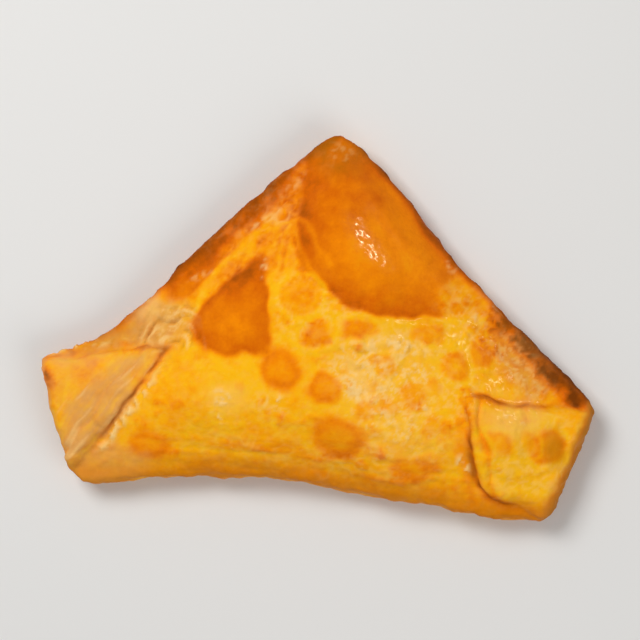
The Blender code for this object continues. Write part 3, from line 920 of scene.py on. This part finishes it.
def lay_flap_edges(crust):
    """The roll along each inner edge, painted shade in the crack under free edges, and what lies beside."""
    height = crust.wrinkle_height
    away_x, away_y = flap_stray(crust.x, crust.y)
    x, y = crust.x - away_x, crust.y - away_y
    over_packet = crust.z - packet_top(x, y)
    on_flap = blend(0.4, 1.0, over_packet) * crust.above
    ragged = np.clip(0.75 + 1.1 * wobble(x, y, 1.7, seed=9.2), 0, 1)
    for plan, roll in ((LEFT_FLAP, LEFT_ROLL), (RIGHT_FLAP, RIGHT_ROLL)):
        free, inner = free_depth(plan, x, y), depth_from(plan["inner"], x, y)
        opened = openness(plan, x, y)
        inside = blend(-1.5, -0.5, depth_from(plan["fold"], x, y))
        on_this = on_flap * blend(-0.2, 0.3, free)
        groove = inner + 0.8 * wobble(x, y, 4, seed=2.9)
        rolled = ridge(inner, 0.5 * roll, 0.3 * roll) - 1.2 * ridge(groove, roll, 0.45)
        crust.push += height * rolled * on_this
        crust.cook(0.62, 0.5 * ridge(groove, roll, 0.3) * on_this * ragged)
        beside = crust.above * (1 - on_flap) * inside
        along = share_along(plan["inner"], x, y)
        if plan is RIGHT_FLAP:
            ragged = ragged * (1 - 0.65 * blend(1.5, 0.5, inner) * blend(0.55, 0.20, along))
        # Painted shade in the crack under the free edge, and a browner band beside it, partly painted shade.
        under = ridge(free, 0.0, 0.28) * inside * crust.above
        crust.mark("crease_shade_and_seam", 0.75 * blend(0.10, 0.75, opened) * under * ragged)
        browned = ridge(free, -0.1, 0.55) * inside * blend(0.05, 0.6, opened) * crust.above
        crust.cook(0.82, 0.7 * browned * blend(0, 0.6, ragged))
        if plan is LEFT_FLAP:
            stretch = blend(0.15, 0.35, along) * blend(1.0, 0.9, along)
            # A raised lip beside the crack, painted pale and lighter as a highlight.
            lip = ridge(free, -1.4, 0.8) * beside * stretch * ragged
            flakes = blend(-0.35, 0.25, crust.lumps(1.0, 19.6))
            crust.push += 1.9 * height * lip * flakes
            crust.mark("pale_and_glint", 1.2 * lip * flakes * blend(0.95, 0.6, along))
            crust.cook(0.05, 0.8 * lip)
            run = along * np.hypot(*(plan["inner"][1] - plan["inner"][0]))
            grain = lumps(np.stack([run / 10, inner, crust.z / 3], axis=1), 0.9, seed=16.4, octaves=2)
            band = blend(9, 6.5, inner) * on_this
            crust.push += 0.45 * height * grain * band
            crust.masks["done"] += 0.20 * grain * band
            crust.masks["tan"] = np.clip(crust.masks["tan"] * (1 + 0.5 * grain * band), 0, 1)
            crust.mark("pale_and_glint", 0.5 * blend(0.2, 0.8, grain) * band)
        else:
            # Painted shade beside the inner edge, in the gap under it and along the lower edge.
            crust.cook(0.80, 0.5 * ridge(inner, -1.2, 0.9) * beside * blend(-11, -22, y))
            gaping = blend(0.45, 0.70, along) * blend(1.0, 0.88, along)
            crust.mark("crease_shade_and_seam", 0.65 * ridge(inner, -0.35, 0.55) * beside * gaping)
            lower, along = depth_from(plan["lower"], x, y), share_along(plan["lower"], x, y)
            shaded = blend(0.0, 0.15, along) * blend(0.85, 0.45, along)
            crust.cook(0.95, 0.75 * ridge(lower, -0.6, 0.75) * beside * shaded)


def lay_seams(crust):
    """The sealed legs: a browned band, darker at the edge partly as painted shade, a crimp and the seam."""
    height = crust.wrinkle_height
    x, y = crust.x, crust.y
    off_flaps = blend(0.4, -0.4, np.maximum(depth_in(LEFT_FLAP, x, y), depth_in(RIGHT_FLAP, x, y)))
    waviness = 0.7 * wobble(x, y, 6, seed=1.7)
    down_left = share_along(PACKET["left_leg"], x, y)
    down_right = 1 - share_along(PACKET["right_leg"], x, y)
    left, right = (depth + waviness for depth in depths_from(("left_leg", "right_leg"), x, y))
    on_left = blend(0.08, 0.24, down_left) * blend(0.75, 0.45, down_left) * off_flaps * crust.above
    on_right = blend(0.48, 0.86, down_right)
    blotchy = np.clip(0.80 + 0.4 * crust.lumps(2.6, 12.4, octaves=3), 0, 1)
    browned = blend(4.4, 2.0, left) * on_left
    crust.cook(0.88, blotchy * browned)
    # The right leg's dark band: charred, and partly painted shade where the edge curves away.
    charred = blend(4.6, 1.8, right) * on_right * off_flaps
    crust.cook(1.15, blotchy * charred)
    # Darker towards the very edge of both legs, partly browning and partly painted shade.
    crust.cook(0.95, 0.8 * blend(1.8, 0.4, np.minimum(left, right)) * off_flaps)
    for lighter in ("tan", "toast_and_shade", "pale_and_glint", "gloss"):
        crust.masks[lighter] *= 1 - 0.9 * charred
    crust.masks["gloss"] *= 1 - 0.6 * browned
    crimp = ridge(left, 5.0, 0.8) - ridge(left, 3.4, 1.0)
    crust.push += 1.2 * height * crimp * on_left
    crust.cook(0.15, 0.6 * ridge(left, 5.3, 0.6) * on_left * blend(0.12, 0.35, down_left))
    edge_line = ridge(crust.z - middle_height(x, y), 0, 0.22) * blend(0.9, 0.3, crust.leg)
    crust.push -= 1.2 * height * edge_line * off_flaps
    crust.mark("crease_shade_and_seam", 0.5 * edge_line * off_flaps)


def lay_rims(crust):
    """The outline: tan on the long fold and left end, painted shade at the fold and right end, puffed sides.
    """
    x, y = crust.x, crust.y
    steep = blend(0.75, 0.25, crust.facing[:, 2]) * blend(-0.7, -0.1, crust.facing[:, 2])
    uneven = 0.5 * crust.lumps(3.5, 8.8, octaves=3)
    edges = ("long_fold", "right_end", "left_end")
    long_fold, right_end, left_end = (depth + uneven for depth in depths_from(edges, x, y))
    # Painted shade: darker and olive along the long fold, where the crust turns away from the light.
    crust.cook(0.62, 0.6 * blend(4.4, 1.2, long_fold) * crust.above)
    crust.mark("toast_and_shade", 0.60 * blend(5.5, 1.5, long_fold) * crust.above)
    crust.mark("tan", 0.45 * blend(1.0, 0.3, long_fold) * steep)
    # Painted shade at the right end: tan, olive and dark towards its edge.
    crust.mark("tan", 0.3 * blend(2.4, 1.2, right_end))
    crust.mark("toast_and_shade", 0.6 * blend(2.2, 0.8, right_end))
    crust.cook(1.0, 0.85 * blend(1.6, 0.3, right_end))
    crust.mark("tan", 0.6 * blend(1.6, 0.5, left_end))
    puffs = crust.lumps(3.6, 27.5, octaves=3)
    crust.push += 1.3 * crust.wrinkle_height * puffs * steep
    crust.masks["done"] += (0.06 + 0.22 * puffs) * steep
    crust.masks["gloss"] *= 1 - 0.6 * steep


def rest_flat(crust):
    """Sets the part that touches the surface exactly flat, and the piece's middle over the frame's."""
    points = crust.points
    points[:, 2] = np.maximum(points[:, 2], 0)
    points += crust.facing * (crust.push * (0.1 + 0.9 * crust.off_surface))[:, None]
    points[:, 2] = np.maximum(points[:, 2] + crust.lift, 0)
    for axis in (0, 1):
        points[:, axis] += MIDDLE[axis] / MM - (points[:, axis].min() + points[:, axis].max()) / 2


# The order counts: each step lays its relief and its colours over those before it.
CRUST_STEPS = (
    lay_ground, lay_blisters, lay_bubbles, lay_wrinkles, lay_seams, lay_flap_edges, lay_rims, rest_flat,
)


def store_masks(mesh, masks):
    for name, values in masks.items():
        attribute = mesh.attributes.new(name, "FLOAT", "POINT")
        attribute.data.foreach_set("value", np.clip(values, 0, 1).astype(np.float32))


# ----------------------------------------------------------------------------
# Materials


# Sizes of the dough's mottling, speckle, grain and pimples, how deep they are, and how the dough shines under
# its oil.
MOTTLING = 1.8 * MM
SPECKLE = 0.55 * MM
GRAIN = 0.25 * MM
PIMPLES = 0.8 * MM
GRAIN_DEPTH = 0.14 * MM
DOUGH_SHINE = 0.04
OIL_ROUGHNESS = 0.14


class Shade:
    """A socket in a material's nodes. Operators on it add Math nodes, and node() adds any other node."""

    def __init__(self, tree, socket=None):
        self.tree = tree
        self.socket = socket

    def node(self, kind, inputs=None, output=0, stops=(), **settings):
        """Adds a node: its settings and a ramp's stops first, then the value or the link of each input."""
        made = self.tree.nodes.new(kind)
        for name, value in settings.items():
            setattr(made, name, value)
        if stops:
            ramp = made.color_ramp.elements
            while len(ramp) < len(stops):
                ramp.new(1.0)
            for stop, (place, shown) in zip(ramp, stops):
                stop.position, stop.color = place, shown
        for name, value in (inputs or {}).items():
            if isinstance(value, Shade):
                self.tree.links.new(value.socket, made.inputs[name])
            else:
                made.inputs[name].default_value = value
        return Shade(self.tree, made.outputs[output])

    def math(self, operation, *operands):
        return self.node("ShaderNodeMath", dict(enumerate(operands)), operation=operation)

    def __add__(self, other):
        return self.math("ADD", self, other)

    def __sub__(self, other):
        return self.math("SUBTRACT", self, other)

    def __rsub__(self, other):
        return self.math("SUBTRACT", other, self)

    def __mul__(self, other):
        return self.math("MULTIPLY", self, other)

    __radd__ = __add__
    __rmul__ = __mul__

    def between(self, low, high):
        """0 below low, 1 above high and smooth between them."""
        inputs = {"Value": self, "From Min": low, "From Max": high}
        return self.node("ShaderNodeMapRange", inputs, interpolation_type="SMOOTHSTEP")

    def mix(self, shown, other):
        """The colour of a socket where this one is 0, and the other colour where it is 1."""
        inputs = {0: self, 6: shown, 7: opaque(other)}
        return self.node("ShaderNodeMix", inputs, output=2, data_type="RGBA", clamp_factor=True)

    def mask(self, name):
        return self.node("ShaderNodeAttribute", output=2, attribute_name=name)

    def cloud(self, place, size, detail=3.0, roughness=0.55):
        """Noise of about 0 to 1 with bumps of this size, in metres."""
        inputs = {"Vector": place, "Scale": 1 / size, "Detail": detail, "Roughness": roughness}
        return self.node("ShaderNodeTexNoise", inputs)


def opaque(shown):
    return (*shown, 1.0)


def fried_dough(finish):
    """Golden dough with browner blisters, matt tan folds, russet seams and a thin shine of oil."""
    material = bpy.data.materials.new("fried_dough")
    material.use_nodes = True
    tree = material.node_tree
    shader = tree.nodes["Principled BSDF"]
    start = Shade(tree)
    place = start.node("ShaderNodeTexCoord", output=3)
    middling = start.cloud(place, MOTTLING, detail=4.0)
    fine = start.cloud(place, SPECKLE, detail=5.0, roughness=0.65)
    speckled = (middling - 0.5) * 0.26 + (fine - 0.5) * 0.28
    done = start.mask("done") + speckled * (1.15 - start.mask("done") * 0.8)
    steps = (finish.yellow, finish.golden, finish.orange, finish.amber, finish.russet)
    stops = [(i / (len(steps) - 1), opaque(step)) for i, step in enumerate(steps)]
    shown = done.node("ShaderNodeValToRGB", {"Fac": done}, stops=stops)
    matt = start.mask("tan") * (0.45 + middling)
    shown = matt.mix(shown, finish.tan)
    # Pale dough, partly painted highlights on crumbs, ridges and ripple crests.
    light = start.mask("pale_and_glint") * (0.45 + fine)
    shown = light.mix(shown, finish.pale_and_glint)
    # Olive toast, partly painted shade.
    shown = (start.mask("toast_and_shade") * (0.5 + middling * 0.9)).mix(shown, finish.toast_and_shade)
    # Painted shade in the cracks and the ripples' troughs, and the dark line of the seam.
    shown = start.mask("crease_shade_and_seam").mix(shown, finish.crease_shade_and_seam)
    tree.links.new(shown.socket, shader.inputs["Base Color"])
    roughness = finish.roughness - start.mask("gloss") * 0.18 + start.mask("tan") * 0.12 + (fine - 0.5) * 0.25
    tree.links.new(roughness.socket, shader.inputs["Roughness"])
    oily = start.mask("gloss") * middling.between(0.30, 0.58) * (1 - start.mask("tan") * 0.6) * finish.oil
    tree.links.new(oily.socket, shader.inputs["Coat Weight"])
    shader.inputs["Coat Roughness"].default_value = OIL_ROUGHNESS
    shader.inputs["Specular IOR Level"].default_value = DOUGH_SHINE
    grain = fine * 0.6 + start.cloud(place, GRAIN) * 0.4
    pimples = start.node("ShaderNodeTexVoronoi", {"Vector": place, "Scale": 1 / PIMPLES}, feature="SMOOTH_F1")
    height = grain * (0.6 + start.mask("wrinkled") * 1.2) - pimples * middling.between(0.42, 0.62) * 0.8
    bump = start.node("ShaderNodeBump", {"Strength": 0.5, "Distance": GRAIN_DEPTH, "Height": height})
    tree.links.new(bump.socket, shader.inputs["Normal"])
    return material


def plain(name, shown, roughness):
    material = bpy.data.materials.new(name)
    material.use_nodes = True
    shader = material.node_tree.nodes["Principled BSDF"]
    shader.inputs["Base Color"].default_value = opaque(shown)
    shader.inputs["Roughness"].default_value = roughness
    return material


# ----------------------------------------------------------------------------
# Operators


class FoldRangoon(bpy.types.Operator):
    """Fold the packet, blister its crust and brown it"""

    bl_idname = "rangoon.fold"
    bl_label = "Fold and fry"

    def execute(self, context):
        form, finish = context.scene.rangoon_form, context.scene.rangoon_finish
        skins = [
            pressed_sphere("crust", PACKET, packet_top, packet_underside),
            pressed_sphere("left_flap", LEFT_FLAP, *flap_shape(LEFT_FLAP, form.crack / MM), flap_stray),
            pressed_sphere("right_flap", RIGHT_FLAP, *flap_shape(RIGHT_FLAP, form.crack / MM), flap_stray),
        ]
        piece = fuse(skins, "crust", form.voxel)
        crust = Crust(piece.data, form)
        for step in CRUST_STEPS:
            step(crust)
        set_points(piece.data, crust.points)
        store_masks(piece.data, crust.masks)
        piece.data.materials.clear()
        piece.data.materials.append(fried_dough(finish))
        select_only(piece)
        bpy.ops.object.shade_smooth()
        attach(piece, BODY)
        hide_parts(NODE)
        return {"FINISHED"}


# The lights: their names, places, sizes and energies, and whether one is only mirrored in the oil, or lights
# the crust and isn't mirrored at all.
LIGHTS = (
    ("key", (-0.20, 0.20, 0.40), (0.22, 0.22), 1.50, False),
    ("fill", (0.34, -0.26, 0.36), (0.35, 0.35), 0.92, False),
    ("glint", (0.30, 0.285, 0.285), (0.11, 0.03), 0.66, True),
)
WORLD_LIGHT = 0.29
FLOOR_SIZE = 4.0
FLOOR_ROUGHNESS = 0.7
CAMERA_NEAREST = 0.01


def add_light(name, place, size, energy, target):
    """An area light that shines at the target."""
    bpy.ops.object.light_add(type="AREA", location=place)
    light = bpy.context.active_object
    light.name = name
    light.data.shape = "RECTANGLE"
    light.data.size, light.data.size_y = size
    light.data.energy = energy
    light.rotation_euler = (Vector(target) - Vector(place)).to_track_quat("-Z", "Y").to_euler()
    return light


class SetRangoonStage(bpy.types.Operator):
    """Add the floor, the lights, the world and the camera"""

    bl_idname = "rangoon.stage"
    bl_label = "Set the stage"

    def execute(self, context):
        stage = context.scene.rangoon_stage
        context.scene.view_settings.view_transform = "Standard"
        select_only()
        bpy.ops.mesh.primitive_plane_add(size=FLOOR_SIZE, location=(0, 0, 0))
        floor = context.active_object
        floor.name = "floor"
        floor.data.materials.append(plain("floor_paint", stage.floor_colour, FLOOR_ROUGHNESS))
        world = bpy.data.worlds.new("studio")
        world.use_nodes = True
        background = world.node_tree.nodes["Background"]
        background.inputs["Color"].default_value = (1, 1, 1, 1)
        background.inputs["Strength"].default_value = WORLD_LIGHT
        context.scene.world = world
        middle = Vector((0, 0, HIGHEST.z / 2))
        for name, place, size, energy, glints in LIGHTS:
            light = add_light(name, place, size, energy, middle)
            light.visible_glossy, light.visible_diffuse = glints, not glints
            if glints:
                light.data.color = stage.glint_colour
        self.add_camera(context, stage, middle)
        return {"FINISHED"}

    def add_camera(self, context, stage, middle):
        """The camera looks almost straight down, leaning towards +X, with the piece turned in the view."""
        up = Vector((-math.sin(stage.turn), math.cos(stage.turn), 0))
        right = Vector((up.y, -up.x, 0))
        back = right * math.sin(stage.lean) + Vector((0, 0, math.cos(stage.lean)))
        side = up.cross(back).normalized()
        bpy.ops.object.camera_add(location=middle + back * stage.distance)
        camera = context.active_object
        camera.name = "camera"
        camera.data.lens = stage.lens
        camera.data.clip_start = CAMERA_NEAREST
        camera.rotation_mode = "QUATERNION"
        axes = (side, back.cross(side), back)
        camera.rotation_quaternion = Matrix(axes).transposed().to_quaternion()
        context.scene.camera = camera


class RangoonPanel(bpy.types.Panel):
    """The rangoon's settings and steps, in the sidebar of the 3D view"""

    bl_idname = "VIEW3D_PT_rangoon"
    bl_label = "Crab Rangoon"
    bl_space_type = "VIEW_3D"
    bl_region_type = "UI"
    bl_category = "Rangoon"

    def draw(self, context):
        for group in SETTINGS:
            settings = getattr(context.scene, group)
            box = self.layout.box()
            for name in settings.__annotations__:
                box.prop(settings, name)
        for step in STEPS:
            self.layout.operator(step.bl_idname)


SETTINGS = {"rangoon_form": RangoonForm, "rangoon_finish": RangoonFinish, "rangoon_stage": RangoonStage}
STEPS = (FoldRangoon, SetRangoonStage)
CLASSES = (*SETTINGS.values(), *STEPS, RangoonPanel)


def register():
    for cls in CLASSES:
        bpy.utils.register_class(cls)
    for name, group in SETTINGS.items():
        setattr(bpy.types.Scene, name, PointerProperty(type=group))


def unregister():
    for name in SETTINGS:
        delattr(bpy.types.Scene, name)
    for cls in reversed(CLASSES):
        bpy.utils.unregister_class(cls)


def main():
    register()
    bpy.ops.rangoon.fold()
    bpy.ops.rangoon.stage()


if __name__ == "__main__":
    main()
